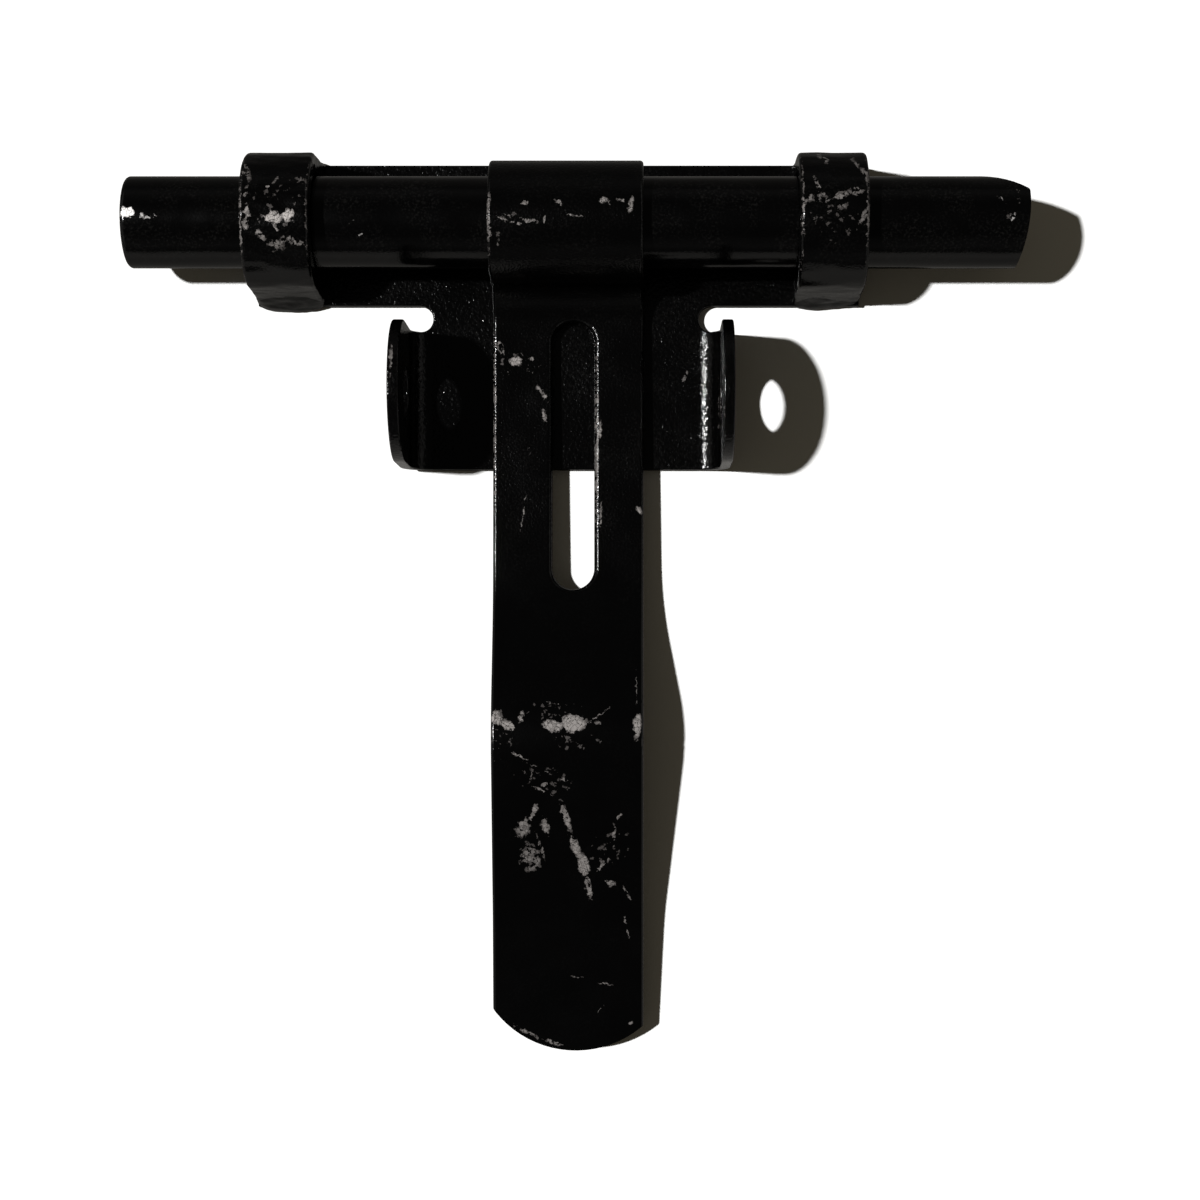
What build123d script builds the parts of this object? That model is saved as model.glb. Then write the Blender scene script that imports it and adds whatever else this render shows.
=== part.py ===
from build123d import *
from math import acos, atan2, cos, degrees, hypot, radians, sin, sqrt
import os

# Weld-on door bolt with padlock ears. All sizes are millimetres.
# The plate's back face lies on z = 0 and +Z points out of the door. The rod runs along X with its
# nose at +X. The origin is under the rod's axis, midway between the two ears.

# Round rod, cropped in a shear at the nose
rod_d = 18.0
rod_tail_x = -86.5
rod_nose_x = 91.4
tail_round = 1.0
nose_crop = 1.9
nose_bow = 0.55
nose_draw = 3.8
nose_draw_length = 11.9
nose_round = 0.8

# Folded sheet: a strip behind the rod and a tab whose two ends stand up as padlock ears
sheet_t = 2.2
strip_margin = 0.45
strip_low_margin = 1.0
ear_gap = 62.4
ear_bend_r = 4.2
ear_w = 28.0
ear_height = 32.4
relief_w = 5.4
padlock_hole_d = 10.8
padlock_hole_z = 15.8
sheet_edge_r = 0.35

# Guide bands bent over the rod, standing on the strip
band_w = 13.5
band_t = 3.5
band_clear = 1.05
left_band_x = -62.55
right_band_x = 59.65
band_edge_r = 0.7

# Weld beads along the outer seam of each band leg
weld_rise = 6.0
weld_drop = 1.4
weld_bulge = 2.4
weld_short = 1.0
weld_end_r = 0.7

# Handle strap, rolled round the rod and bent down flat over the plate
strap_t = 3.0
strap_w = 30.4
strap_x = 0.6
strap_edge_r = 0.7
curl_clear = 0.05
curl_gap = 0.3
curl_overlap_deg = 45.0
bend_r = 7.2

# Handle profile along its underside: distance from the rod's axis, and height over the plate's back
knee_reach = 75.1
knee_z = 3.7
knee_r = 58.0
crest_reach = 100.6
crest_z = 12.0
crest_r = 25.0
heel_reach = 137.9
heel_z = 4.6
heel_r = 63.0
tip_reach = 165.7
tip_z = 2.3

# Handle outline: a long slot that drops over an ear, and a tip cut to a slanted arc
slot_w = 8.5
slot_offset = 1.0
slot_top_reach = 18.2
slot_end_reach = 72.5
slot_edge_r = 1.0
tip_offset = 3.4
tip_left_back = 8.5
tip_right_back = 5.1

# Weld bead in the seam behind the curl
seam_weld_d = 4.0
seam_weld_length = 24.0
seam_weld_out = 1.7
seam_weld_drop = 0.8

# Heights and radii that follow from the stack: sheet, gap, curl, rod
rod_r = rod_d / 2
curl_in_r = rod_r + curl_clear
curl_out_r = curl_in_r + strap_t
axis_z = sheet_t + curl_gap + curl_out_r
band_in_r = rod_r + band_clear
band_out_r = band_in_r + band_t
strip_top_y = band_out_r + strip_margin
strip_low_y = -band_out_r - strip_low_margin
rod_length = rod_nose_x - rod_tail_x

# Ears: the relief notch ends where the fold begins, so the sheet tears nowhere
ear_in_x = ear_gap / 2
ear_out_x = ear_in_x + sheet_t
fold_start_x = ear_in_x - ear_bend_r
relief_y = strip_low_y - relief_w / 2
ear_top_y = strip_low_y - relief_w
ear_low_y = ear_top_y - ear_w
ear_mid_y = ear_top_y - ear_w / 2
ear_round_z = ear_height - ear_w / 2

# Strap bend between curl and flat: it touches the curl's circle and stands the curl's gap off the plate
bend_out_r = bend_r + strap_t
bend_z = sheet_t + curl_gap + bend_out_r
bend_y = -sqrt((curl_in_r + bend_out_r) ** 2 - (axis_z - bend_z) ** 2)
curl_leave_deg = 360 + degrees(atan2(bend_z - axis_z, bend_y))
curl_start_deg = 270 - curl_overlap_deg
knee_from_bend = Vector(-knee_reach - bend_y, knee_z - bend_z)
knee_dir_deg = 360 + degrees(atan2(knee_from_bend.Y, knee_from_bend.X))
foot_deg = knee_dir_deg + degrees(acos(bend_out_r / knee_from_bend.length))
curl = ((0, axis_z), curl_in_r, curl_start_deg, 360 + curl_leave_deg - curl_start_deg)
bend = ((bend_y, bend_z), bend_r, foot_deg, curl_leave_deg + 180 - foot_deg)
foot = (bend_y + bend_out_r * cos(radians(foot_deg)), bend_z + bend_out_r * sin(radians(foot_deg)))

# Seam weld: it leans on the outer corner of the curl's end, towards the bend
curl_end_y = curl_out_r * cos(radians(curl_start_deg))
curl_end_z = axis_z + curl_out_r * sin(radians(curl_start_deg))
seam_centre = (curl_end_y - seam_weld_out, curl_end_z - seam_weld_drop)

# Side limits of the strap and reach of the tools that cut it
strap_left_x = strap_x - strap_w / 2
strap_right_x = strap_x + strap_w / 2
slot_x = strap_x + slot_offset
tip_left_reach = tip_reach - tip_left_back
tip_right_reach = tip_reach - tip_right_back
past_tip = tip_reach + strap_w
above_all = ear_height + axis_z

os.makedirs("parts", exist_ok=True)


def save(builder, name):
    builder.part.label = name
    export_step(builder.part, f"parts/{name}.step")


# Base plate: the tab and its ears are one folded section, trimmed to round ear ends
with BuildPart() as base_plate:
    with BuildSketch(Plane.XZ.offset(-relief_y)):
        with BuildLine():
            FilletPolyline(
                (-ear_out_x, ear_height),
                (-ear_out_x, 0),
                (ear_out_x, 0),
                (ear_out_x, ear_height),
                radius=ear_bend_r + sheet_t,
            )
            offset(amount=sheet_t, side=Side.LEFT)
        make_face()
    extrude(amount=relief_y - ear_low_y)
    with BuildSketch(Plane.YZ):
        with Locations((relief_y, 0)):
            Rectangle(relief_y - ear_low_y, ear_round_z, align=(Align.MAX, Align.MIN))
        with Locations((ear_mid_y, ear_round_z)):
            Circle(ear_w / 2)
    extrude(amount=ear_out_x, both=True, mode=Mode.INTERSECT)
    with BuildSketch(Plane.XY):
        with Locations((left_band_x, strip_low_y)):
            Rectangle(right_band_x - left_band_x, strip_top_y - strip_low_y, align=(Align.MIN, Align.MIN))
        with Locations((0, relief_y)):
            Rectangle(2 * fold_start_x + relief_w, relief_w / 2, align=(Align.CENTER, Align.MIN))
    extrude(amount=sheet_t)
    with BuildSketch(Plane.XY):
        for side in (-1, 1):
            with Locations((side * (fold_start_x + ear_height / 2), relief_y)):
                SlotOverall(ear_height, relief_w)
    extrude(amount=ear_height, mode=Mode.SUBTRACT)
    with BuildSketch(Plane.YZ):
        with Locations((ear_mid_y, padlock_hole_z)):
            Circle(padlock_hole_d / 2)
    extrude(amount=ear_out_x, both=True, mode=Mode.SUBTRACT)
    ear_faces = base_plate.faces().filter_by(Axis.X).sort_by(SortBy.AREA)[-4:]
    fillet(ear_faces.edges().filter_by(Axis.Y, reverse=True), sheet_edge_r)
save(base_plate, "base_plate")


def make_band(left_x):
    """One band: a half round over the rod on two straight legs."""
    leg = axis_z - sheet_t
    with BuildPart() as band:
        with BuildSketch(Plane.YZ.offset(left_x)):
            for radius, mode in ((band_out_r, Mode.ADD), (band_in_r, Mode.SUBTRACT)):
                with Locations((0, axis_z)):
                    Circle(radius, mode=mode)
                    Rectangle(2 * radius, leg, align=(Align.CENTER, Align.MAX), mode=mode)
            with Locations((0, sheet_t)):
                Rectangle(4 * band_out_r, band_out_r, align=(Align.CENTER, Align.MAX), mode=Mode.SUBTRACT)
        extrude(amount=band_w)
        rims = band.faces().filter_by(Axis.X).edges()
        fillet(rims.filter_by(is_outer_rim), band_edge_r)
    return band


def is_outer_rim(edge):
    """True on the edges of a band that run along its outer face, not under its feet."""
    point = edge @ 0.5
    off_axis = hypot(point.Y, max(point.Z - axis_z, 0))
    return off_axis > band_out_r - band_edge_r and point.Z > sheet_t + band_edge_r


def make_band_weld(left_x, side):
    """A bead that fills the step between a band leg and the edge of the strip."""
    leg_y = side * band_out_r
    edge_y = strip_top_y if side > 0 else strip_low_y
    top = (leg_y, sheet_t + weld_rise)
    low = (edge_y, sheet_t - weld_drop)
    swell = (leg_y + side * weld_bulge, sheet_t + (weld_rise - weld_drop) / 2)
    with BuildPart() as bead:
        with BuildSketch(Plane.YZ.offset(left_x + weld_short / 2)):
            with BuildLine():
                Polyline(top, (leg_y, sheet_t), (edge_y, sheet_t), low)
                ThreePointArc(low, swell, top)
            make_face()
        extrude(amount=band_w - weld_short)
        ends = bead.faces().filter_by(Axis.X).edges().filter_by(GeomType.CIRCLE)
        fillet(ends, weld_end_r)
    return bead


for place, left_x in (("left", left_band_x), ("right", right_band_x - band_w)):
    save(make_band(left_x), f"{place}_guide_band")
    save(make_band_weld(left_x, 1), f"{place}_band_upper_weld")
    save(make_band_weld(left_x, -1), f"{place}_band_lower_weld")

# Rod: a bar with a rounded tail, its nose drawn in on one side and cropped on a slant
with BuildPart() as bolt_rod:
    with BuildSketch(Plane.YZ.offset(rod_tail_x)):
        with Locations((0, axis_z)):
            Circle(rod_r)
    extrude(amount=rod_length)
    fillet(bolt_rod.edges().filter_by(GeomType.CIRCLE).sort_by(Axis.X)[0], tail_round)
    with BuildSketch(Plane.XY) as nose_cut:
        with BuildLine():
            shoulder = (rod_nose_x, rod_r - nose_draw)
            drawn = TangentArc((rod_nose_x - nose_draw_length, rod_r), shoulder, tangent=(1, 0))
            toe = (rod_nose_x - nose_crop, -rod_r)
            crop_mid = (rod_nose_x - nose_crop / 2 + nose_bow, -nose_draw / 2)
            ThreePointArc(shoulder, crop_mid, toe)
            Polyline(
                toe,
                (rod_nose_x - nose_crop, -rod_d),
                (rod_nose_x + rod_d, -rod_d),
                (rod_nose_x + rod_d, rod_d),
                (rod_nose_x - nose_draw_length, rod_d),
                drawn @ 0,
            )
        make_face()
        fillet(nose_cut.vertices().sort_by_distance(shoulder)[0], nose_round)
    extrude(amount=axis_z + rod_d, mode=Mode.SUBTRACT)
save(bolt_rod, "bolt_rod")


def is_slot_rim(edge):
    """True on the edges round the slot in the strap's outer face."""
    point = edge @ 0.5
    in_width = abs(point.X - slot_x) < slot_w / 2 + strap_edge_r
    in_length = slot_top_reach - strap_edge_r < -point.Y < slot_end_reach + strap_edge_r
    return in_width and in_length and point.Z > knee_z + strap_t / 3 and abs(edge.tangent_at(0.5).Z) < 0.9


# Handle: one bent section across the strap, then the tip and the slot cut through it
with BuildPart() as hasp_handle:
    with BuildSketch(Plane.YZ.offset(strap_left_x)):
        for centre, inner_r, start_deg, sweep_deg in (curl, bend):
            with BuildLine():
                inner = CenterArc(centre, inner_r, start_deg, sweep_deg)
                outer = CenterArc(centre, inner_r + strap_t, start_deg, sweep_deg)
                Line(inner @ 0, outer @ 0)
                Line(inner @ 1, outer @ 1)
            make_face()
        with BuildLine():
            FilletPolyline(
                foot,
                (-knee_reach, knee_z),
                (-crest_reach, crest_z),
                (-heel_reach, heel_z),
                (-tip_reach, tip_z),
                radius=[knee_r, crest_r, heel_r],
            )
            offset(amount=strap_t, side=Side.RIGHT)
        make_face()
    extrude(amount=strap_w)
    with BuildSketch(Plane.XY):
        with BuildLine():
            ThreePointArc(
                (strap_left_x, -tip_left_reach),
                (strap_x + tip_offset, -tip_reach),
                (strap_right_x, -tip_right_reach),
            )
            Polyline(
                (strap_right_x, -tip_right_reach),
                (strap_right_x, -past_tip),
                (strap_left_x, -past_tip),
                (strap_left_x, -tip_left_reach),
            )
        make_face()
    extrude(amount=above_all, mode=Mode.SUBTRACT)
    with BuildSketch(Plane.XY):
        with Locations((slot_x, -(slot_top_reach + slot_end_reach) / 2)):
            SlotOverall(slot_end_reach - slot_top_reach, slot_w, rotation=90)
    extrude(amount=above_all, mode=Mode.SUBTRACT)
    fillet(hasp_handle.edges().filter_by(is_slot_rim), slot_edge_r)
    sides = hasp_handle.faces().filter_by(Axis.X).sort_by(Axis.X)
    fillet(sides[0].edges() + sides[-1].edges(), strap_edge_r)
save(hasp_handle, "hasp_handle")

# Seam weld: a short bead laid in the groove where the curl's end meets the strap
with BuildPart() as seam_weld:
    with BuildSketch(Plane.YZ.offset(strap_x - seam_weld_length / 2)):
        with Locations(seam_centre):
            Circle(seam_weld_d / 2)
    extrude(amount=seam_weld_length)
    fillet(seam_weld.edges().filter_by(GeomType.CIRCLE), seam_weld_d / 4)
    add(hasp_handle.part, mode=Mode.SUBTRACT)
save(seam_weld, "handle_seam_weld")
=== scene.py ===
# %% [markdown]
# # A black sliding door bolt
# This lesson dresses a steel door bolt that was modelled in CAD. The CAD solids give every size and
# place. Blender adds what a drawing lacks: smooth shading, uneven bent bands, lumpy weld beads, and a
# gloss black enamel that is chipped down to grey metal where the bolt has been knocked and dragged.
# The first lines load the imported part as a fixed frame.

# %% Load the part
import math

import bmesh
import bpy
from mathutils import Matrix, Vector


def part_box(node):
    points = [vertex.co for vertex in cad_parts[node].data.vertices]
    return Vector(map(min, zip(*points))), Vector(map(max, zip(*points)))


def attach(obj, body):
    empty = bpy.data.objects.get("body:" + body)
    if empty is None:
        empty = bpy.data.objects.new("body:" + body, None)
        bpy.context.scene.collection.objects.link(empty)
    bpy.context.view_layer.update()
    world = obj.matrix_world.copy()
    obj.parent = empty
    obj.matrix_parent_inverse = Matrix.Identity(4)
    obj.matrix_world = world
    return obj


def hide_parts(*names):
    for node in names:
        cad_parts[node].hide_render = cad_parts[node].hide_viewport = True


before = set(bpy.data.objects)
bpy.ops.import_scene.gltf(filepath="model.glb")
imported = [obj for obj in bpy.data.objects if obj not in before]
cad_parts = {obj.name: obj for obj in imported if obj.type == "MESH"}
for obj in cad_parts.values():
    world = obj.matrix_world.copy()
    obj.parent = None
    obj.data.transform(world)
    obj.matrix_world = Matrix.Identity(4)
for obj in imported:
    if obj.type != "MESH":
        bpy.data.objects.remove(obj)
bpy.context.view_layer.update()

MM = 0.001
print("nodes:", sorted(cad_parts))

# %% [markdown]
# ## The camera
# The photograph looks straight down from about half a metre. A camera in Blender looks along its own
# -Z axis, so with no rotation it already looks down. The bolt isn't under the lens but above and to the
# left of it, and the lens shift slides the picture there without tilting the view.

# %% Camera above the bolt
CAMERA_PLACE = Vector((15.1, -92.8, 491.0)) * MM
LENS = 72.0
SENSOR = 36.0
SHIFT_X = -0.0333
SHIFT_Y = 0.075

camera = bpy.data.objects.new("camera", bpy.data.cameras.new("camera"))
bpy.context.scene.collection.objects.link(camera)
camera.location = CAMERA_PLACE
camera.data.lens = LENS
camera.data.sensor_width = SENSOR
camera.data.shift_x = SHIFT_X
camera.data.shift_y = SHIFT_Y
bpy.context.scene.camera = camera
print("camera height in mm:", round(camera.location.z / MM))

# %% [markdown]
# ## The lamp
# The bolt lies under one lamp at the left. A sun lamp fits, because its shadows all run the same way,
# and a small angle keeps their edges crisp. Its direction is written as the shift of a shadow for each
# unit of height, which can be read off a picture. The Standard view keeps black black and white white.

# %% Light from the left
SHADOW_PER_HEIGHT = Vector((0.62, -0.045, -1.0))
SUN_STRENGTH = 4.7
SUN_ANGLE = math.radians(2.2)

sun = bpy.data.objects.new("sun", bpy.data.lights.new("sun", "SUN"))
bpy.context.scene.collection.objects.link(sun)
sun.rotation_mode = "QUATERNION"
sun.rotation_quaternion = SHADOW_PER_HEIGHT.to_track_quat("-Z", "Y")
sun.data.energy = SUN_STRENGTH
sun.data.angle = SUN_ANGLE
bpy.context.scene.view_settings.view_transform = "Standard"
print("sun elevation:", round(math.degrees(math.asin(-SHADOW_PER_HEIGHT.normalized().z)), 1))

# %% [markdown]
# ## Shader maths in plain expressions
# A material is a net of small nodes. Wiring each one by hand hides the idea, so two short classes do
# it: Value wraps one socket, and adding or multiplying Values adds Math nodes. Finish holds a node tree,
# and its one method makes any other node from its type, its settings and its inputs.

# %% One socket as a value


class Value:
    """One number that changes over a surface. Maths on it adds Math nodes."""

    def __init__(self, finish, socket):
        self.finish = finish
        self.socket = socket

    def math(self, operation, first, second):
        return self.finish.node("ShaderNodeMath", {"operation": operation}, {0: first, 1: second})

    def __add__(self, other):
        return self.math("ADD", self, other)

    __radd__ = __add__

    def __sub__(self, other):
        return self.math("SUBTRACT", self, other)

    def __rsub__(self, other):
        return self.math("SUBTRACT", other, self)

    def __mul__(self, other):
        return self.math("MULTIPLY", self, other)

    __rmul__ = __mul__

    def larger(self, other):
        return self.math("MAXIMUM", self, other)

    def ramp(self, low, high, start=0.0, end=1.0):
        """Runs from start to end while this value runs from low to high, and stays there beyond."""
        limits = {"From Min": low, "From Max": high, "To Min": start, "To Max": end}
        return self.finish.node("ShaderNodeMapRange", {"clamp": True}, {"Value": self, **limits})


print("a Value takes +, - and *, and has larger and ramp")

# %% A node tree and its one method


class Finish:
    """A node tree under construction, of a material or of the world."""

    def __init__(self, owner):
        owner.use_nodes = True
        self.owner = owner
        self.tree = owner.node_tree
        self.tree.nodes.clear()

    def node(self, kind, settings=None, inputs=None, output=0):
        """Adds one node: its settings first, then values or links for its sockets."""
        made = self.tree.nodes.new(kind)
        for name, setting in (settings or {}).items():
            setattr(made, name, setting)
        for socket, given in (inputs or {}).items():
            if isinstance(given, Value):
                self.tree.links.new(given.socket, made.inputs[socket])
            else:
                made.inputs[socket].default_value = given
        return Value(self, made.outputs[output]) if made.outputs else made


def part_of(finish, vector, axis):
    """One of a vector's three numbers: X, Y or Z."""
    return finish.node("ShaderNodeSeparateXYZ", inputs={0: vector}, output=axis)


def mix_colour(finish, share, first, second):
    """The first colour where share is 0, the second where it is 1."""
    return finish.node("ShaderNodeMix", {"data_type": "RGBA"}, {"Factor": share, 6: first, 7: second}, 2)


print("a Finish makes nodes for a material or a world")

# %% [markdown]
# ## The sky
# The room around the bolt is dark, so the sky is dim and warm and only lifts the shadows a little. The
# camera sees it pale where it looks past the floor. Gloss black paint shows little more than what it
# mirrors, so from the side the bolt would be lost in black. A pale rim of sky at the left and the
# right, low down, gives it something to mirror. The rim is weak ahead and behind, because the rod lies
# across the picture and has to stay black from above. Light Path tells the rays apart.

# %% Dim sky with a pale rim
SKY_STRENGTH = 0.05
SKY_SEEN = 1.0
SKY_COLOUR = (1.0, 0.88, 0.65, 1)
RIM_COLOUR = (1.0, 0.98, 0.95, 1)
RIM_STRENGTH = 0.6
RIM_FROM = 0.05
RIM_TOP = 0.35
RIM_TO = 0.75
RIM_AHEAD = 0.15
ASIDE_FROM = 0.05
ASIDE_TO = 0.3

world = bpy.data.worlds.new("sky")
bpy.context.scene.world = world
sky = Finish(world)
direction = sky.node("ShaderNodeTexCoord", output="Generated")
rise = part_of(sky, direction, "Z")
aside = part_of(sky, direction, "X")
sides = (aside * aside).ramp(ASIDE_FROM, ASIDE_TO, RIM_AHEAD, 1.0)
rim = rise.ramp(RIM_FROM, RIM_TOP) * (1 - rise.ramp(RIM_TOP, RIM_TO)) * sides * RIM_STRENGTH
mirrored = sky.node("ShaderNodeLightPath", output="Is Glossy Ray")
seen = sky.node("ShaderNodeLightPath", output="Is Camera Ray")
strength = seen.ramp(0, 1, SKY_STRENGTH, SKY_SEEN) + mirrored * rim
tint = mix_colour(sky, mirrored, SKY_COLOUR, RIM_COLOUR)
light = sky.node("ShaderNodeBackground", inputs={"Color": tint, "Strength": strength})
sky.node("ShaderNodeOutputWorld", inputs={"Surface": light})
print("sky nodes:", len(sky.tree.nodes))

# %% [markdown]
# ## The floor
# The bolt lies on a wide white sheet. The steep legs of the bands and the sides of the handle mirror
# that sheet, and a white mirror image would turn black paint grey. So the sheet is white only to the
# camera. To every other ray it is grey: palest well in front of the bolt, and painted shade makes it
# darker close to the bolt and darkest behind it. So a leg is brightest below its shoulder, where it
# mirrors the floor far ahead, and darkens towards its foot, where it mirrors that painted shade. Two
# Mix Shaders blend the greys along Y, and a third one picks the white for camera rays.

# %% Floor plane
FLOOR_SIDE = 6.0
FLOOR_DROP = 0.1 * MM

bpy.ops.object.select_all(action="DESELECT")
bpy.ops.mesh.primitive_plane_add(size=FLOOR_SIDE, location=(0, 0, -FLOOR_DROP))
floor = bpy.context.object
floor.name = "floor"
print("floor side in m:", FLOOR_SIDE)

# %% White to the camera, grey with painted shade to mirrors
FLOOR_COLOUR = (0.88, 0.88, 0.87, 1)
MIRRORED_AHEAD = (0.33, 0.32, 0.305, 1)
# Painted shade: to mirrors and bounce light the floor is darker close to the bolt and behind it.
MIRRORED_NEAR_SHADE = (0.115, 0.111, 0.104, 1)
MIRRORED_BEHIND_SHADE = (0.05, 0.048, 0.045, 1)
AHEAD_OF = -80 * MM
NEAR_FROM = -20 * MM
NEAR_TO = 0.0
BEHIND_FROM = 40 * MM

paper = Finish(bpy.data.materials.new("white_floor"))
depth = part_of(paper, paper.node("ShaderNodeTexCoord", output="Object"), "Y")
pale = paper.node("ShaderNodeBsdfDiffuse", inputs={"Color": FLOOR_COLOUR})
ahead = paper.node("ShaderNodeBsdfDiffuse", inputs={"Color": MIRRORED_AHEAD})
near_shade = paper.node("ShaderNodeBsdfDiffuse", inputs={"Color": MIRRORED_NEAR_SHADE})
behind_shade = paper.node("ShaderNodeBsdfDiffuse", inputs={"Color": MIRRORED_BEHIND_SHADE})
near_shade_share = depth.ramp(AHEAD_OF, NEAR_FROM)
before = paper.node("ShaderNodeMixShader", inputs={"Fac": near_shade_share, 1: ahead, 2: near_shade})
behind_shade_share = depth.ramp(NEAR_TO, BEHIND_FROM)
dim = paper.node("ShaderNodeMixShader", inputs={"Fac": behind_shade_share, 1: before, 2: behind_shade})
direct = paper.node("ShaderNodeLightPath", output="Is Camera Ray")
both = paper.node("ShaderNodeMixShader", inputs={"Fac": direct, 1: dim, 2: pale})
paper.node("ShaderNodeOutputMaterial", inputs={"Surface": both})
floor.data.materials.append(paper.owner)
print("floor nodes:", len(paper.tree.nodes))

# %% [markdown]
# ## Knocks and painted glints
# Enamel chips where it was hit. Each hit is listed on the piece: its middle, its length and its
# width in millimetres, its turn in degrees and its force. A Mapping node brings the hit to a circle of
# radius 1, so the distance from its middle says how hard the paint was struck there. The places are
# first stirred by noise, because a clean ellipse would look printed.
# Some marks are painted highlight: they stand in for the lamp's glint on rounded edges and on the rod's
# tail.

# %% Noise and ragged outlines
FRAY_REACH = 1.6


def noise(finish, place, scale, detail=2.0, roughness=0.5, output="Fac"):
    """Soft noise with features of about 1 / scale millimetres."""
    inputs = {"Vector": place, "Scale": scale, "Detail": detail, "Roughness": roughness}
    return finish.node("ShaderNodeTexNoise", {}, inputs, output)


def frayed(finish, place, reach):
    """The place moved about by noise, so that outlines drawn from it are ragged."""
    stir = noise(finish, place, scale=0.9, detail=3.0, roughness=0.6, output="Color")
    centred = finish.node("ShaderNodeVectorMath", {"operation": "SUBTRACT"}, {0: stir, 1: (0.5, 0.5, 0.5)})
    inputs = {0: centred, 1: (reach, reach, reach), 2: place}
    return finish.node("ShaderNodeVectorMath", {"operation": "MULTIPLY_ADD"}, inputs)


print("outlines fray by up to", FRAY_REACH / 2, "mm")

# %% Force of the knocks
ANY_HEIGHT = 1e5
MARK_GROWTH = 1.15
FULL_FORCE = 0.5


def knocks(finish, place, marks):
    """A mark's force in its middle, falling to 0 at its rim, for chips and for painted glints."""
    mark_force = None
    for x, y, length, width, turn, force in marks:
        inputs = {
            "Vector": place,
            "Location": (x, y, 0),
            "Rotation": (0, 0, math.radians(turn)),
            "Scale": (MARK_GROWTH * length / 2, MARK_GROWTH * width / 2, ANY_HEIGHT),
        }
        local = finish.node("ShaderNodeMapping", {"vector_type": "TEXTURE"}, inputs)
        radius = finish.node("ShaderNodeVectorMath", {"operation": "LENGTH"}, {0: local}, "Value")
        one = radius.ramp(FULL_FORCE, 1, force, 0)
        mark_force = one if mark_force is None else mark_force.larger(one)
    return mark_force


print("a mark has its full force over", FULL_FORCE, "of its radius")

# %% [markdown]
# ## Black enamel
# The paint is nearly black and glossy. It was sprayed thick, so fine dimples and slow waves break each
# highlight into sparks, and on the steep legs it sagged before it dried. All of that is bump. A thin
# film of dust lies on it in patches. Where it was hit, it comes off in flakes: Voronoi cells are small
# plates of paint, each with its own chance of holding, and the lines between them stay dark as cracks.
# Under a flake is metal, dull at the rim of a hit and brighter in its middle. Marks lie only on faces
# that look up at rest, as the knocks did, and so a hit on the top doesn't show through on the back.
# The same flakes also paint highlight, where a mark stands in for the lamp's glint on a rounded edge.

# %% Flakes of paint and the metal under them
METAL_DARK = (0.036, 0.032, 0.030, 1)
METAL_LIGHT = (0.215, 0.20, 0.19, 1)
FLAKES_PER_MM = 1.2
FLAKE_CHANCE = 0.8
FLAKE_PATCHES = 1.6
PAINT_FAILS = (1.80, 1.86)
CRACK_WIDTH = (0.01, 0.06)
MARK_RIM = (0.02, 0.12)
LOOKS_UP = (0.1, 0.4)
BRIGHT_HIT = 0.9
BRIGHT_CHANCE = 0.35
BRIGHT_GRAIN = 0.8
BRIGHT_METAL = (1.1, 1.75)


def chips(finish, place, marks, bare):
    """Where the paint is gone, and where its flakes paint a glint, from 0 to 1, and the colour shown
    there.
    """
    facing = finish.node("ShaderNodeTexCoord", output="Normal")
    upward = part_of(finish, facing, "Z").ramp(*LOOKS_UP)
    ragged = frayed(finish, place, FRAY_REACH)
    mark_force = knocks(finish, ragged, marks)
    cells = {"Vector": ragged, "Scale": FLAKES_PER_MM}
    tint = finish.node("ShaderNodeTexVoronoi", {}, cells, "Color")
    chance = finish.node("ShaderNodeSeparateColor", inputs={0: tint})
    cracks = finish.node("ShaderNodeTexVoronoi", {"feature": "DISTANCE_TO_EDGE"}, cells, "Distance")
    weak = noise(finish, place, scale=0.9, detail=2.0, roughness=0.6)
    flakes = (mark_force + chance * FLAKE_CHANCE + weak * FLAKE_PATCHES).ramp(*PAINT_FAILS)
    # This mask holds wear and also painted highlight, where a mark stands in for a glint.
    wear_and_glint = flakes * cracks.ramp(*CRACK_WIDTH) * mark_force.ramp(*MARK_RIM) * upward
    grain = noise(finish, place, scale=1.7, detail=4.0, roughness=0.6)
    bright = (mark_force * BRIGHT_HIT + chance * BRIGHT_CHANCE + grain * BRIGHT_GRAIN).ramp(*BRIGHT_METAL)
    return wear_and_glint, mix_colour(finish, bright, METAL_DARK, bare)


print("a flake is about", round(1 / FLAKES_PER_MM, 2), "mm wide")

# %% Paint under a film of dust
PAINT_COLOUR = (0.0004, 0.00038, 0.0004, 1)
DUST_COLOUR = (0.06, 0.058, 0.054, 1)
MOST_DUST = 0.26
LEAST_PATCH = 0.1


def dusty_paint(finish, place, texture, dust):
    """Black paint with specks of dust, more of them in some patches than in others."""
    patches = noise(finish, place, scale=0.13).ramp(0.42, 0.62, LEAST_PATCH, 1.0)
    specks = noise(finish, place, scale=2.0, detail=3.0, roughness=0.6).ramp(0.5, 0.9, 0.0, MOST_DUST)
    film = specks * patches * texture * dust
    return mix_colour(finish, film, PAINT_COLOUR, DUST_COLOUR)


print("dust covers at most", MOST_DUST, "of the paint")

# %% Dimples, waves and sags
DIMPLE_DEPTH = 0.03
WAVE_DEPTH = 0.25
SAG_SHAPE = (0.14, 0.26, 0.26)


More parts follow.
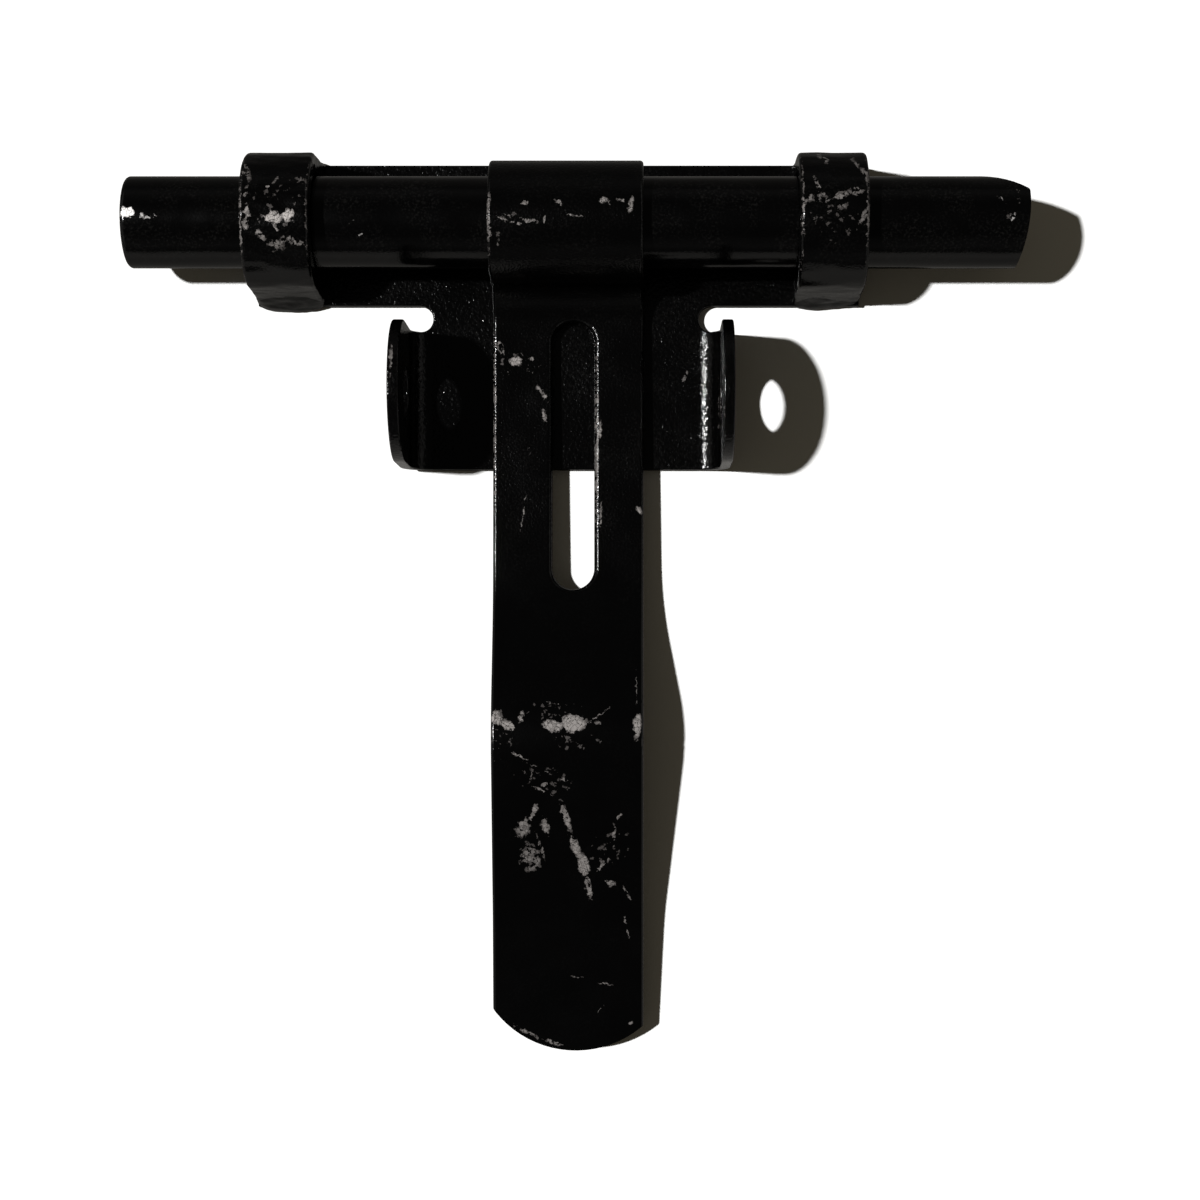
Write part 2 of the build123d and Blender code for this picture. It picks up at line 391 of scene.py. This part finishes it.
def uneven_skin(finish, place, texture, peel, fineness, sags):
    """The bump of sprayed paint. Peel deepens the dimples, and sags is the depth of runs in mm."""
    dimples = noise(finish, place, fineness)
    waves = noise(finish, place, scale=0.09, detail=1.0)
    height = dimples * texture * (DIMPLE_DEPTH * peel * MM) + waves * (WAVE_DEPTH * MM)
    if sags:
        drawn = finish.node("ShaderNodeVectorMath", {"operation": "MULTIPLY"}, {0: place, 1: SAG_SHAPE})
        height = height + noise(finish, drawn, scale=1.0, detail=1.0) * (sags * MM)
    return finish.node("ShaderNodeBump", inputs={"Strength": 1.0, "Distance": 1.0, "Height": height})


print("dimples are up to", DIMPLE_DEPTH, "mm deep and waves", WAVE_DEPTH, "mm")

# %% The whole finish
PAINT_IOR = 1.3
PAINT_ROUGHNESS = (0.12, 0.17)
METAL_ROUGHNESS = 0.55
METAL_SHARE = 0.35
SMOOTHING_LENGTH = 22
SMOOTH_SHARE = 0.25


def enamel(name, marks, peel=1.0, dust=1.0, fineness=2.2, sags=0.0, bare=METAL_LIGHT, rough_from=None):
    """Black gloss paint with given chips and painted glints. Below rough_from, in mm along Y, it gets
    smoother.
    """
    finish = Finish(bpy.data.materials.new(name))
    metres = finish.node("ShaderNodeTexCoord", output="Object")
    place = finish.node("ShaderNodeVectorMath", {"operation": "SCALE"}, {0: metres, "Scale": 1 / MM})
    texture = 1.0
    if rough_from:
        texture = part_of(finish, place, "Y").ramp(rough_from - SMOOTHING_LENGTH, rough_from, SMOOTH_SHARE)
    wear_and_glint, metal = chips(finish, place, marks, bare)
    paint = dusty_paint(finish, place, texture, dust)
    smears = noise(finish, place, scale=0.12, detail=3.0).ramp(0.35, 0.7, *PAINT_ROUGHNESS)
    inputs = {
        "Base Color": mix_colour(finish, wear_and_glint, paint, metal),
        "Roughness": smears.larger(wear_and_glint * METAL_ROUGHNESS),
        "Metallic": wear_and_glint * METAL_SHARE,
        "IOR": PAINT_IOR,
        "Normal": uneven_skin(finish, place, texture, peel, fineness, sags),
    }
    surface = finish.node("ShaderNodeBsdfPrincipled", inputs=inputs)
    finish.node("ShaderNodeOutputMaterial", inputs={"Surface": surface})
    print(name, "has", len(marks), "marks and", len(finish.tree.nodes), "nodes")
    return finish.owner


print("roughness of clean paint:", PAINT_ROUGHNESS, "and of bare metal:", METAL_ROUGHNESS)

# %% [markdown]
# ## Where the paint is gone, and painted glints
# Each list follows one piece. The handle has rubbed through on its crest, which meets the hand and the
# floor first, and has flakes and long scratches below it. The knuckle and the bands are chipped along
# the top, where tools and keys have hit them. A row is x, y, length, width, turn and force.
# A long thin row with a low force lines an edge with specks, and a wide one with a very low force
# scatters specks. The rows along the left edges of the strap and the knuckle, and along the slot's
# right edge, are painted highlight: their flakes stand in for the lamp's glint on those rounded edges.

# %% Marks on the handle
KNUCKLE_MARKS = [
    (-7.3, 1.5, 1.9, 0.8, 10, 1.1),
    (-0.6, 1.6, 1.8, 0.9, -30, 1.1),
    (8.0, 2.0, 2.0, 1.4, 0, 1.15),
    (9.3, 1.4, 1.2, 0.5, -50, 0.8),
    (11.5, 2.0, 1.9, 0.7, -20, 0.9),
    (13.4, 1.4, 3.8, 1.2, 80, 1.05),
    (-14.8, -1.0, 1.8, 1.3, 60, 1.2),
    (-11.5, -1.6, 3.4, 0.5, -18, 0.85),
    (-10.4, -1.0, 2.0, 0.4, -35, 0.8),
    (-8.8, -2.4, 3.2, 0.5, -10, 0.9),
    (-6.2, -1.9, 3.6, 0.9, 5, 0.85),
    (-3.4, -1.7, 1.6, 0.6, 75, 0.9),
    (2.4, -1.0, 4.2, 0.3, -8, 0.8),
    (-12.4, -5.2, 3.0, 0.7, 80, 0.8),
    (-14.4, -7.7, 2.0, 0.9, 75, 0.8),
    # Painted highlight: flakes along the knuckle's left edge stand in for the lamp's glint there.
    (-14.3, -2.0, 15.0, 1.2, 90, 0.8),
    (-8.0, -1.8, 12.0, 2.6, 0, 0.3),
]
STRAP_MARKS = [
    (-13.3, -23.5, 4.6, 1.6, -60, 0.85),
    (-10.1, -26.4, 3.4, 2.2, 25, 1.25),
    (-6.8, -25.8, 1.2, 0.9, 0, 0.9),
    (-4.6, -32.8, 4.4, 1.0, -55, 0.9),
    (-4.2, -37.5, 3.4, 1.0, -75, 0.9),
    (-7.2, -44.4, 2.8, 0.6, 80, 0.7),
    (7.0, -40.1, 4.2, 0.9, 88, 1.0),
    (7.2, -57.3, 6.2, 0.7, 85, 0.9),
    (-8.4, -57.0, 9.8, 0.35, 82, 0.75),
    (15.1, -56.7, 1.8, 1.1, -50, 1.1),
    # Painted highlight: flakes along the strap's left edge stand in for the lamp's glint there.
    (-14.3, -41.0, 44.0, 1.0, 90, 0.75),
    # Painted highlight: flakes along the slot's right edge stand in for the lamp's glint there.
    (6.3, -42.0, 40.0, 1.0, 90, 0.75),
    (-9.5, -26.5, 11.0, 6.0, 0, 0.26),
]
CREST_MARKS = [
    (-13.4, -98.3, 3.4, 2.6, 80, 1.25),
    (-11.2, -99.8, 3.8, 2.1, -30, 1.2),
    (-14.2, -102.3, 4.0, 0.8, 90, 0.8),
    (-8.5, -98.1, 2.8, 1.3, 75, 0.9),
    (1.8, -99.4, 5.8, 4.2, 10, 1.35),
    (-2.2, -100.0, 5.4, 2.8, 0, 1.2),
    (-2.0, -96.6, 12.0, 4.5, 0, 0.26),
    (-12.6, -103.8, 7.0, 9.0, 0, 0.28),
    (1.5, -103.0, 14.0, 3.5, 0, 0.26),
    (-2.4, -95.4, 4.2, 0.6, -10, 0.8),
    (6.2, -98.3, 7.4, 0.35, 35, 0.9),
    (6.8, -99.4, 1.4, 1.0, 0, 0.8),
    (14.6, -99.9, 5.6, 2.2, 85, 1.2),
    (14.4, -92.7, 8.4, 0.3, 90, 0.9),
]
LOWER_MARKS = [
    (-9.0, -105.9, 5.0, 0.35, -28, 0.9),
    (-4.4, -108.6, 7.0, 0.35, -25, 0.8),
    (0.0, -110.6, 2.6, 1.0, -20, 0.8),
    (-6.6, -109.4, 4.6, 0.35, -84, 0.8),
    (-4.2, -113.0, 6.5, 0.4, -27, 0.8),
    (-3.9, -111.6, 1.4, 1.1, 30, 1.0),
    (-8.3, -120.4, 4.6, 3.6, 75, 0.82),
    (-3.5, -110.8, 14.0, 7.0, -25, 0.27),
    (8.5, -124.5, 11.0, 9.0, 45, 0.27),
    (-6.0, -117.0, 5.8, 1.2, 62, 0.9),
    (-6.8, -126.5, 7.2, 4.6, -80, 0.8),
    (-3.7, -120.2, 4.6, 1.7, -80, 0.95),
    (-4.8, -124.0, 7.2, 0.6, -72, 0.8),
    (0.2, -117.9, 7.6, 1.6, -72, 1.0),
    (2.3, -124.4, 7.4, 2.0, -66, 1.1),
    (3.9, -128.0, 5.6, 2.6, -80, 1.2),
    (4.8, -132.4, 6.4, 1.2, -78, 0.95),
    (7.6, -127.8, 6.6, 1.0, 46, 0.9),
    (10.0, -122.2, 6.0, 0.6, 88, 0.8),
    (10.9, -118.3, 2.4, 0.7, 40, 0.85),
    (9.1, -131.5, 3.4, 1.2, -20, 0.85),
    (12.7, -133.8, 4.8, 0.5, -60, 0.8),
    (12.5, -140.6, 6.8, 0.35, -78, 0.85),
    (2.5, -150.7, 3.2, 0.3, -6, 0.8),
    (8.0, -152.1, 4.2, 0.3, -3, 0.8),
    (7.3, -157.1, 3.2, 0.35, 53, 0.9),
    (-7.8, -161.9, 6.2, 1.0, -28, 0.85),
    (-2.0, -164.2, 5.0, 0.7, -16, 0.85),
    (13.3, -160.2, 1.2, 0.8, 0, 0.8),
]
HANDLE_MARKS = KNUCKLE_MARKS + STRAP_MARKS + CREST_MARKS + LOWER_MARKS
print("marks on the handle:", len(HANDLE_MARKS))

# %% Marks on the bands, the rod and the plate
LEFT_BAND_MARKS = [
    (-61.1, 7.4, 5.4, 1.9, -65, 0.66),
    (-61.0, 3.2, 4.0, 1.7, 60, 0.66),
    (-60.9, -1.6, 6.5, 1.9, 85, 0.74),
    (-55.8, -1.5, 4.4, 2.8, -10, 1.3),
    (-52.8, -1.0, 3.4, 2.4, 35, 1.3),
    (-55.2, -3.4, 1.8, 0.9, -60, 0.9),
    (-58.2, -4.9, 4.4, 1.4, -47, 0.72),
    (-55.6, -6.7, 5.4, 2.4, 5, 0.76),
    (-53.6, -5.6, 3.8, 1.6, 30, 0.72),
    (-51.4, -6.1, 4.4, 1.5, -10, 0.7),
    (-55.4, 5.8, 2.6, 0.9, 50, 0.9),
    (-57.0, 4.5, 1.1, 0.7, 0, 0.8),
    (-50.5, 5.9, 3.4, 1.4, -40, 0.55),
    (-62.1, 0.0, 25.0, 0.6, 90, 0.7),
    (-49.4, 0.0, 25.0, 0.5, 90, 0.65),
    (-55.0, 1.0, 13.0, 14.0, 0, 0.22),
]
RIGHT_BAND_MARKS = [
    (50.7, 11.2, 3.8, 1.7, -50, 0.9),
    (57.1, 9.9, 3.6, 1.2, -70, 0.9),
    (59.0, 6.9, 5.0, 1.6, -65, 0.95),
    (49.3, 5.4, 4.4, 0.9, -70, 0.9),
    (47.4, 2.0, 3.0, 2.0, 20, 0.8),
    (50.3, 2.1, 4.4, 2.3, 0, 0.85),
    (53.7, 2.6, 4.4, 2.2, 20, 0.82),
    (56.8, 3.5, 3.8, 2.0, 15, 0.85),
    (54.0, 0.4, 2.2, 1.6, 0, 0.7),
    (58.3, -1.4, 3.6, 1.4, 55, 0.75),
    (46.7, 0.0, 25.0, 0.6, 90, 0.7),
    (59.2, 0.0, 25.0, 0.6, 90, 0.75),
    (53.0, -2.0, 13.0, 9.0, 0, 0.22),
]
ROD_MARKS = [
    (87.8, -0.5, 3.2, 0.9, 62, 0.7),
    (85.6, 3.2, 2.2, 0.6, -20, 0.6),
    # Bare steel at the tail, and also painted highlight: it is made as bright as the lamp's glint there.
    (-84.9, 0.3, 3.8, 2.6, -8, 1.5),
    (88.0, 1.5, 8.0, 3.5, 70, 0.36),
    (-81.2, -0.4, 6.0, 1.2, -4, 0.6),
    (-41.0, -1.5, 2.0, 0.5, 40, 0.7),
    (-39.5, -4.0, 1.6, 0.4, 60, 0.7),
]
PLATE_MARKS = [
    (-32.6, -29.0, 8.0, 0.7, 90, 0.8),
    (31.2, -36.0, 14.0, 0.4, 90, 0.75),
    (24.3, -29.0, 2.4, 0.8, 70, 0.9),
]
print("marks on the bands:", len(LEFT_BAND_MARKS), "and", len(RIGHT_BAND_MARKS))
print("marks on the rod and the plate:", len(ROD_MARKS), "and", len(PLATE_MARKS))

# %% [markdown]
# ## Smooth copies of the plate, the rod and the handle
# A CAD mesh arrives as loose triangles, each with its own corners and stored normals, so gloss paint
# would show every facet. A copy forgets those normals and is merged at its corners, and triangles that
# lie flat against each other are dissolved into one face. The copy is then shaded smooth wherever two
# faces meet at a small angle, and weighted normals keep the wide flats flat right up to their rounded
# edges. The shapes are already right, so modelling these three again would only add errors.

# %% Select, apply and smooth
SMOOTH_ANGLE = math.radians(32)


def only(piece):
    """Selects one object and nothing else, and makes it the active one."""
    bpy.ops.object.select_all(action="DESELECT")
    piece.select_set(True)
    bpy.context.view_layer.objects.active = piece


def apply_modifiers(piece):
    only(piece)
    for modifier in list(piece.modifiers):
        bpy.ops.object.modifier_apply(modifier=modifier.name)


def smooth(piece, angle=SMOOTH_ANGLE):
    """Shades an object smooth, but leaves edges sharp that are bent by more than the angle."""
    only(piece)
    bpy.ops.object.shade_smooth_by_angle(angle=angle)
    weighted = piece.modifiers.new("weighted normals", "WEIGHTED_NORMAL")
    weighted.keep_sharp = True
    apply_modifiers(piece)


print("edges stay sharp from", round(math.degrees(SMOOTH_ANGLE)), "degrees")

# %% Copy a CAD node and put it in its place
MERGE = 0.001 * MM
FLAT_ANGLE = math.radians(0.2)


def smooth_copy(node):
    """A finished piece in the shape of a CAD node."""
    piece = bpy.data.objects.new(node + "_finished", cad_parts[node].data.copy())
    bpy.context.scene.collection.objects.link(piece)
    piece.data.materials.clear()
    only(piece)
    bpy.ops.mesh.customdata_custom_splitnormals_clear()
    bpy.ops.object.mode_set(mode="EDIT")
    bpy.ops.mesh.select_all(action="SELECT")
    bpy.ops.mesh.remove_doubles(threshold=MERGE)
    bpy.ops.mesh.dissolve_limited(angle_limit=FLAT_ANGLE)
    bpy.ops.object.mode_set(mode="OBJECT")
    smooth(piece)
    return piece


def dress(piece, node, body, material):
    """Puts the finished piece in the CAD node's place, on its body, in its paint."""
    piece.data.materials.append(material)
    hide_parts(node)
    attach(piece, body)
    print(piece.name, "has", len(piece.data.polygons), "faces")


print("corners closer than", MERGE / MM, "mm are merged")

# %% Plate, rod and handle
# Bare steel and painted highlight: near white, as bright as the lamp's glint on the rod's tail.
TAIL_METAL_AND_GLINT = (0.75, 0.73, 0.71, 1)
HANDLE_ROUGH_FROM = -58

plate_enamel = enamel("plate_enamel", PLATE_MARKS, peel=4.5, dust=0.4, fineness=1.5)
dress(smooth_copy("base_plate"), "base_plate", "base", plate_enamel)
rod_enamel = enamel("rod_enamel", ROD_MARKS, peel=0.7, dust=0.6, bare=TAIL_METAL_AND_GLINT)
dress(smooth_copy("bolt_rod"), "bolt_rod", "bolt", rod_enamel)
handle_enamel = enamel("handle_enamel", HANDLE_MARKS, peel=2.6, dust=0.3, rough_from=HANDLE_ROUGH_FROM)
dress(smooth_copy("hasp_handle"), "hasp_handle", "handle", handle_enamel)

# %% [markdown]
# ## Guide bands
# Each band is a flat bar that was bent hot over the rod, so it is modelled the same way. A grid the size
# of the bar's section stands on top of the rod, and its two outer corners are bevelled. It is spun about
# the rod's axis almost to the side, then extruded down a straight leg that spreads a little, which
# leaves a soft crease at each shoulder. The other half is its mirror image. Cloud noise then makes the
# outer face as uneven as forged bar. A CAD copy would be quicker, but its legs are ideal planes, and
# they would mirror the floor in one even tone.

# %% Helpers for new meshes


def edit_mesh(piece):
    only(piece)
    bpy.ops.object.mode_set(mode="EDIT")
    return bmesh.from_edit_mesh(piece.data)


def close_and_place(piece, name):
    """Leaves edit mode with a closed mesh, and puts the object at the origin."""
    bpy.ops.mesh.select_all(action="SELECT")
    bpy.ops.mesh.remove_doubles(threshold=MERGE)
    bpy.ops.mesh.normals_make_consistent(inside=False)
    bpy.ops.object.mode_set(mode="OBJECT")
    bpy.ops.object.transform_apply(location=True, rotation=True, scale=True)
    piece.name = name


def roughen(piece, amount, size, test):
    """Moves the points that pass the test in and out by soft noise."""
    group = piece.vertex_groups.new(name="rough")
    group.add([point.index for point in piece.data.vertices if test(point.co)], 1.0, "REPLACE")
    clouds = bpy.data.textures.new(piece.name + "_clouds", "CLOUDS")
    clouds.noise_scale = size
    uneven = piece.modifiers.new("uneven", "DISPLACE")
    uneven.texture = clouds
    uneven.texture_coords = "GLOBAL"
    uneven.vertex_group = group.name
    uneven.strength = amount
    apply_modifiers(piece)


print("new meshes are closed, placed and roughened by three helpers")

# %% Bend half a band
BAND_THICKNESS = 3.5 * MM
CORNER_ROUND = 0.8 * MM
CORNER_STEPS = 8
GRID_ACROSS = 10
GRID_THROUGH = 3
BEND = math.radians(78)
BEND_STEPS = 19


def half_arc(width, axis, middle):
    """A bar's section on top of the rod, spun about the rod's axis to one side."""
    bpy.ops.object.select_all(action="DESELECT")
    start = {"location": axis + Vector((0, 0, middle)), "rotation": (math.pi / 2, 0, 0)}
    cells = {"x_subdivisions": GRID_ACROSS, "y_subdivisions": GRID_THROUGH}
    bpy.ops.mesh.primitive_grid_add(size=1, **cells, **start)
    band = bpy.context.object
    mesh = edit_mesh(band)
    bpy.ops.mesh.select_all(action="SELECT")
    bpy.ops.transform.resize(value=(width, 1, BAND_THICKNESS))
    bpy.ops.mesh.select_all(action="DESELECT")
    for point in mesh.verts:
        point.select_set(len(point.link_edges) == 2 and point.co.y > 0)
    bpy.ops.mesh.bevel(offset=CORNER_ROUND, segments=CORNER_STEPS, affect="VERTICES")
    bpy.ops.mesh.select_all(action="SELECT")
    bpy.ops.mesh.spin(steps=BEND_STEPS, angle=BEND, center=axis, axis=(1, 0, 0))
    return band, mesh


print("the bar is bent by", round(math.degrees(BEND)), "degrees on each side")

# %% Draw out the leg
LEG_STEPS = 8
LEG_SPREAD = 0.65 * MM


def draw_leg(mesh, place, foot):
    """Extrudes the selected end to the foot, levels it on the way, and opens the mirrored end."""
    stride = (foot - place) / LEG_STEPS
    for steps_left in range(LEG_STEPS, 0, -1):
        place = place + stride
        bpy.ops.mesh.extrude_region_move(TRANSFORM_OT_translate={"value": stride})
        bpy.ops.transform.resize(value=(1, 1, (steps_left - 1) / steps_left), center_override=place)
    bpy.ops.mesh.select_all(action="DESELECT")
    for face in mesh.faces:
        face.select_set(all(abs(point.co.z) < MERGE for point in face.verts))
    bpy.ops.mesh.delete(type="FACE")


print("a leg spreads by", LEG_SPREAD / MM, "mm in", LEG_STEPS, "steps")

# %% Mirror and forge the band
CREASE_ANGLE = math.radians(14)
FORGED = 0.3 * MM
FORGED_SIZE = 7 * MM
INNER_SHARE = 0.3


def bent_band(node):
    """A flat bar bent over the rod, with straight legs that spread a little down to the strip."""
    low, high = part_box(node)
    outer = (high.y - low.y) / 2
    inner = outer - BAND_THICKNESS
    middle = outer - BAND_THICKNESS / 2
    axis = Vector(((low.x + high.x) / 2, 0, high.z - outer))
    band, mesh = half_arc(high.x - low.x, axis, middle)
    shoulder = axis + Vector((0, math.sin(BEND), math.cos(BEND))) * middle
    draw_leg(mesh, shoulder, Vector((axis.x, middle + LEG_SPREAD, low.z)))
    close_and_place(band, node + "_finished")
    mirror = band.modifiers.new("other half", "MIRROR")
    mirror.use_axis = (False, True, False)
    apply_modifiers(band)

    def on_outside(place):
        return math.hypot(place.y, max(place.z - axis.z, 0)) > inner + INNER_SHARE * BAND_THICKNESS

    roughen(band, FORGED, FORGED_SIZE, on_outside)
    edit_mesh(band)
    close_and_place(band, node + "_finished")
    smooth(band, CREASE_ANGLE)
    return band


print("the outer face is uneven by", FORGED / MM, "mm")

# %% Both bands
BAND_METAL = (0.30, 0.28, 0.265, 1)

left_enamel = enamel("left_band_enamel", LEFT_BAND_MARKS, peel=1.6, dust=0.4, sags=0.6, bare=BAND_METAL)
right_enamel = enamel("right_band_enamel", RIGHT_BAND_MARKS, peel=1.6, dust=0.4, sags=0.4)
dress(bent_band("left_guide_band"), "left_guide_band", "base", left_enamel)
dress(bent_band("right_guide_band"), "right_guide_band", "base", right_enamel)

# %% [markdown]
# ## Weld beads
# A bead of weld fills the corner between a leg and the strip with a ramp, as a row of small puddles that
# froze one after another. Each bead starts as a square standing on its corner, whose sides are cut in
# three so that they stay straight. It is extruded along the seam ring by ring, and every ring is scaled
# to the bead's reach and rise at that place, a little less at every second ring for the ripples.
# Subdivision melts the rings together, and a cut takes off what would hang below the plate. A row of
# spheres would be simpler, but would look like pearls, because real puddles run into each other.

# %% How far each bead reaches
LEFT_LOWER_BEAD = [
    (-62.7, 0.9, 4.2), (-62.1, 1.6, 6.2), (-61.3, 2.0, 7.4), (-60.2, 2.2, 8.2), (-59.0, 2.3, 8.6),
    (-58.0, 2.3, 8.8), (-57.0, 2.4, 9.0), (-56.0, 2.5, 9.0), (-55.0, 2.5, 9.0), (-54.0, 2.5, 9.0),
    (-53.0, 2.4, 8.8), (-52.0, 2.3, 8.4), (-51.0, 2.1, 7.8), (-50.0, 1.8, 6.8), (-49.2, 1.3, 5.0),
    (-48.7, 0.8, 3.0),
]
RIGHT_LOWER_BEAD = [
    (46.0, 0.8, 3.0), (46.8, 1.4, 5.0), (47.8, 1.7, 6.8), (48.8, 1.9, 7.8), (49.8, 2.0, 8.2),
    (50.8, 2.0, 8.2), (51.8, 1.9, 8.0), (52.8, 1.8, 7.8), (53.8, 1.7, 7.4), (54.8, 1.6, 7.0),
    (55.8, 1.5, 6.6), (56.8, 1.4, 6.0), (57.8, 1.3, 5.4), (58.8, 1.1, 4.6), (59.4, 0.8, 3.0),
]
SEAM_START = [(-11.2, 0.5, 0.5), (-10.8, 1.6, 1.5)]
SEAM_RUN = [(x, 2.4, 2.3) for x in range(-10, 12)]
SEAM_END = [(11.9, 1.6, 1.5), (12.4, 0.5, 0.5)]


def resized(stations, reach_share, rise_share):
    """A bead like another one, with a share of its reach and of its rise."""
    return [(x, reach_share * reach, rise_share * rise) for x, reach, rise in stations]


LEFT_UPPER_BEAD = resized(LEFT_LOWER_BEAD, reach_share=0.92, rise_share=0.95)
RIGHT_UPPER_BEAD = resized(RIGHT_LOWER_BEAD, reach_share=0.95, rise_share=1.02)
SEAM_BEAD = SEAM_START + SEAM_RUN + SEAM_END
print("rings in a left, right and seam bead:", *map(len, (LEFT_LOWER_BEAD, RIGHT_LOWER_BEAD, SEAM_BEAD)))

# %% Draw out the rings
SIDE_CUTS = 2
NEAR_CORNER = 0.1
RIPPLE = 0.95


def square_end(x, reach, rise, root_y, root_z, flare):
    """A square on its corner at the bead's start. Flare moves the points on its two upper sides."""
    bpy.ops.object.select_all(action="DESELECT")
    start = {"location": (x, root_y, root_z), "rotation": (0, math.pi / 2, 0)}
    bpy.ops.mesh.primitive_circle_add(vertices=4, radius=1, fill_type="NGON", **start)
    bead = bpy.context.object
    mesh = edit_mesh(bead)
    bpy.ops.mesh.select_all(action="SELECT")
    bpy.ops.mesh.subdivide(number_cuts=SIDE_CUTS)
    bpy.ops.mesh.select_all(action="DESELECT")
    for point in mesh.verts:
        above = point.co.x < -NEAR_CORNER
        between = NEAR_CORNER < abs(point.co.y) < 1 - NEAR_CORNER
        point.select_set(above and between and point.is_boundary)
    bpy.ops.transform.resize(value=(1, flare, 1))
    bpy.ops.mesh.select_all(action="SELECT")
    bpy.ops.transform.resize(value=(1, reach, rise))
    return bead


def draw_rings(stations, x, reach, rise):
    """Extrudes the selected end from station to station."""
    for number, station in enumerate(stations):
        next_x, next_reach, next_rise = (size * MM for size in station)
        if number % 2:
            next_reach = next_reach * RIPPLE
        bpy.ops.mesh.extrude_region_move(TRANSFORM_OT_translate={"value": (next_x - x, 0, 0)})
        bpy.ops.transform.resize(value=(1, next_reach / reach, next_rise / rise))
        x, reach, rise = next_x, next_reach, next_rise


print("every second ring reaches", RIPPLE, "of its length")

# %% Melt and cut a bead
MELT_LEVELS = 2
LUMPS = 0.35 * MM
LUMP_SIZE = 3 * MM


def everywhere(place):
    return True


def weld_bead(node, stations, root_y, root_z, flare):
    """Rings of the given reach and rise about a line along X at the bead's root."""
    x, reach, rise = (size * MM for size in stations[0])
    bead = square_end(x, reach, rise, root_y, root_z, flare)
    draw_rings(stations[1:], x, reach, rise)
    close_and_place(bead, node + "_finished")
    melted = bead.modifiers.new("melted", "SUBSURF")
    melted.levels = MELT_LEVELS
    melted.render_levels = MELT_LEVELS
    apply_modifiers(bead)
    roughen(bead, LUMPS, LUMP_SIZE, everywhere)
    edit_mesh(bead)
    bpy.ops.mesh.select_all(action="SELECT")
    cut = {"plane_co": (0, 0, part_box(node)[0].z), "plane_no": (0, 0, 1)}
    bpy.ops.mesh.bisect(use_fill=True, clear_inner=True, **cut)
    close_and_place(bead, node + "_finished")
    smooth(bead)
    return bead


print("beads are lumpy by", LUMPS / MM, "mm")

# %% Lay the beads
BEAD_ROOT_Z = 1.0 * MM
FLARED = 0.9
SUNK = 0.75 * MM
BULGED = 1.3

leg_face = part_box("left_guide_band")[1].y + LEG_SPREAD
for node, stations, side, material in (
    ("left_band_lower_weld", LEFT_LOWER_BEAD, -1, left_enamel),
    ("left_band_upper_weld", LEFT_UPPER_BEAD, 1, left_enamel),
    ("right_band_lower_weld", RIGHT_LOWER_BEAD, -1, right_enamel),
    ("right_band_upper_weld", RIGHT_UPPER_BEAD, 1, right_enamel),
):
    bead = weld_bead(node, stations, side * (leg_face - SUNK), BEAD_ROOT_Z, FLARED)
    dress(bead, node, "base", material)
seam_low, seam_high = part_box("handle_seam_weld")
seam_middle = (seam_low + seam_high) / 2
seam = weld_bead("handle_seam_weld", SEAM_BEAD, seam_middle.y, seam_middle.z, BULGED)
dress(seam, "handle_seam_weld", "handle", handle_enamel)
